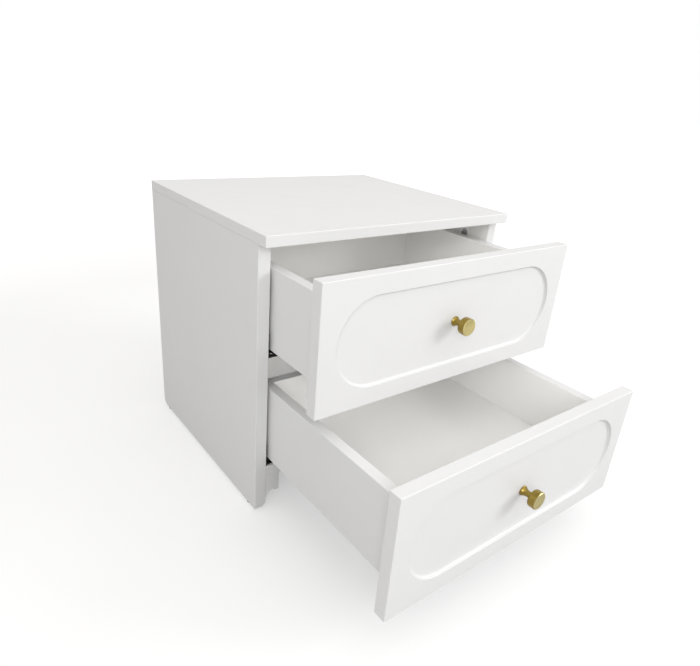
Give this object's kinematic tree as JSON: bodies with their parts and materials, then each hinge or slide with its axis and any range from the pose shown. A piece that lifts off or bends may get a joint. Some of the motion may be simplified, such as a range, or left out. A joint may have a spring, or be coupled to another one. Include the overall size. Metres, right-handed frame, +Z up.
{
  "type": "nightstand with drawers",
  "caption": "Low white nightstand with drawers on undermount slides, long round-ended recesses in the fronts, turned brass knobs and small bracket feet.",
  "frame": {"origin": "middle of the carcass footprint on the floor, in the plane of the glides' undersides", "axes": "+X to the right as seen from the front, the fronts face -Y, +Z up"},
  "size_m": [0.481, 0.73, 0.456],
  "materials": {
    "white_board": "satin white foil on fibreboard",
    "black_slide_steel": "black electrophoretic coat",
    "zinc_steel": "bright zinc plate",
    "zinc_casting": "as-cast zinc",
    "beech_dowel": "raw turned beech",
    "grey_plastic": "matt moulded",
    "brushed_brass": "fine turned brush lines, satin"
  },
  "bodies": {
    "cabinet": {"top_panel": "white_board", "left_side_panel": "white_board", "right_side_panel": "white_board", "bottom_panel": "white_board", "back_panel": "white_board", "left_foot_bracket": "white_board", "right_foot_bracket": "white_board", "floor_glides": "grey_plastic", "cam_discs": "zinc_casting", "cam_bolts": "zinc_casting", "carcass_dowels": "beech_dowel", "rail_screws": "zinc_steel", "upper_left_fixed_rail": "black_slide_steel", "upper_right_fixed_rail": "black_slide_steel", "lower_left_fixed_rail": "black_slide_steel", "lower_right_fixed_rail": "black_slide_steel"},
    "upper_drawer": {"upper_drawer_front": "white_board", "upper_drawer_left_side": "white_board", "upper_drawer_right_side": "white_board", "upper_drawer_back": "white_board", "upper_drawer_floor": "white_board", "upper_left_runner": "black_slide_steel", "upper_right_runner": "black_slide_steel", "upper_runner_screws": "zinc_steel", "upper_drawer_dowels": "beech_dowel", "upper_knob": "brushed_brass", "upper_knob_screw": "zinc_steel"},
    "lower_drawer": {"lower_drawer_front": "white_board", "lower_drawer_left_side": "white_board", "lower_drawer_right_side": "white_board", "lower_drawer_back": "white_board", "lower_drawer_floor": "white_board", "lower_left_runner": "black_slide_steel", "lower_right_runner": "black_slide_steel", "lower_runner_screws": "zinc_steel", "lower_drawer_dowels": "beech_dowel", "lower_knob": "brushed_brass", "lower_knob_screw": "zinc_steel"},
    "upper_slide_middles": {"upper_left_middle_member": "zinc_steel", "upper_right_middle_member": "zinc_steel"},
    "lower_slide_middles": {"lower_left_middle_member": "zinc_steel", "lower_right_middle_member": "zinc_steel"}
  },
  "joints": [
    {"name": "upper_drawer_slide", "type": "slide", "parent": "cabinet", "child": "upper_drawer", "axis": [0, -1, 0], "range_m": [-0.1285, 0.17]},
    {"name": "upper_middles_slide", "type": "slide", "parent": "cabinet", "child": "upper_slide_middles", "axis": [0, -1, 0], "range_m": [-0.06425, 0.085]},
    {"name": "lower_drawer_slide", "type": "slide", "parent": "cabinet", "child": "lower_drawer", "axis": [0, -1, 0], "range_m": [-0.2955, 0.003]},
    {"name": "lower_middles_slide", "type": "slide", "parent": "cabinet", "child": "lower_slide_middles", "axis": [0, -1, 0], "range_m": [-0.14775, 0.0015]}
  ],
  "couplings": [
    {"joint": "upper_middles_slide", "follows": "upper_drawer_slide", "ratio": 0.5},
    {"joint": "lower_middles_slide", "follows": "lower_drawer_slide", "ratio": 0.5}
  ]
}
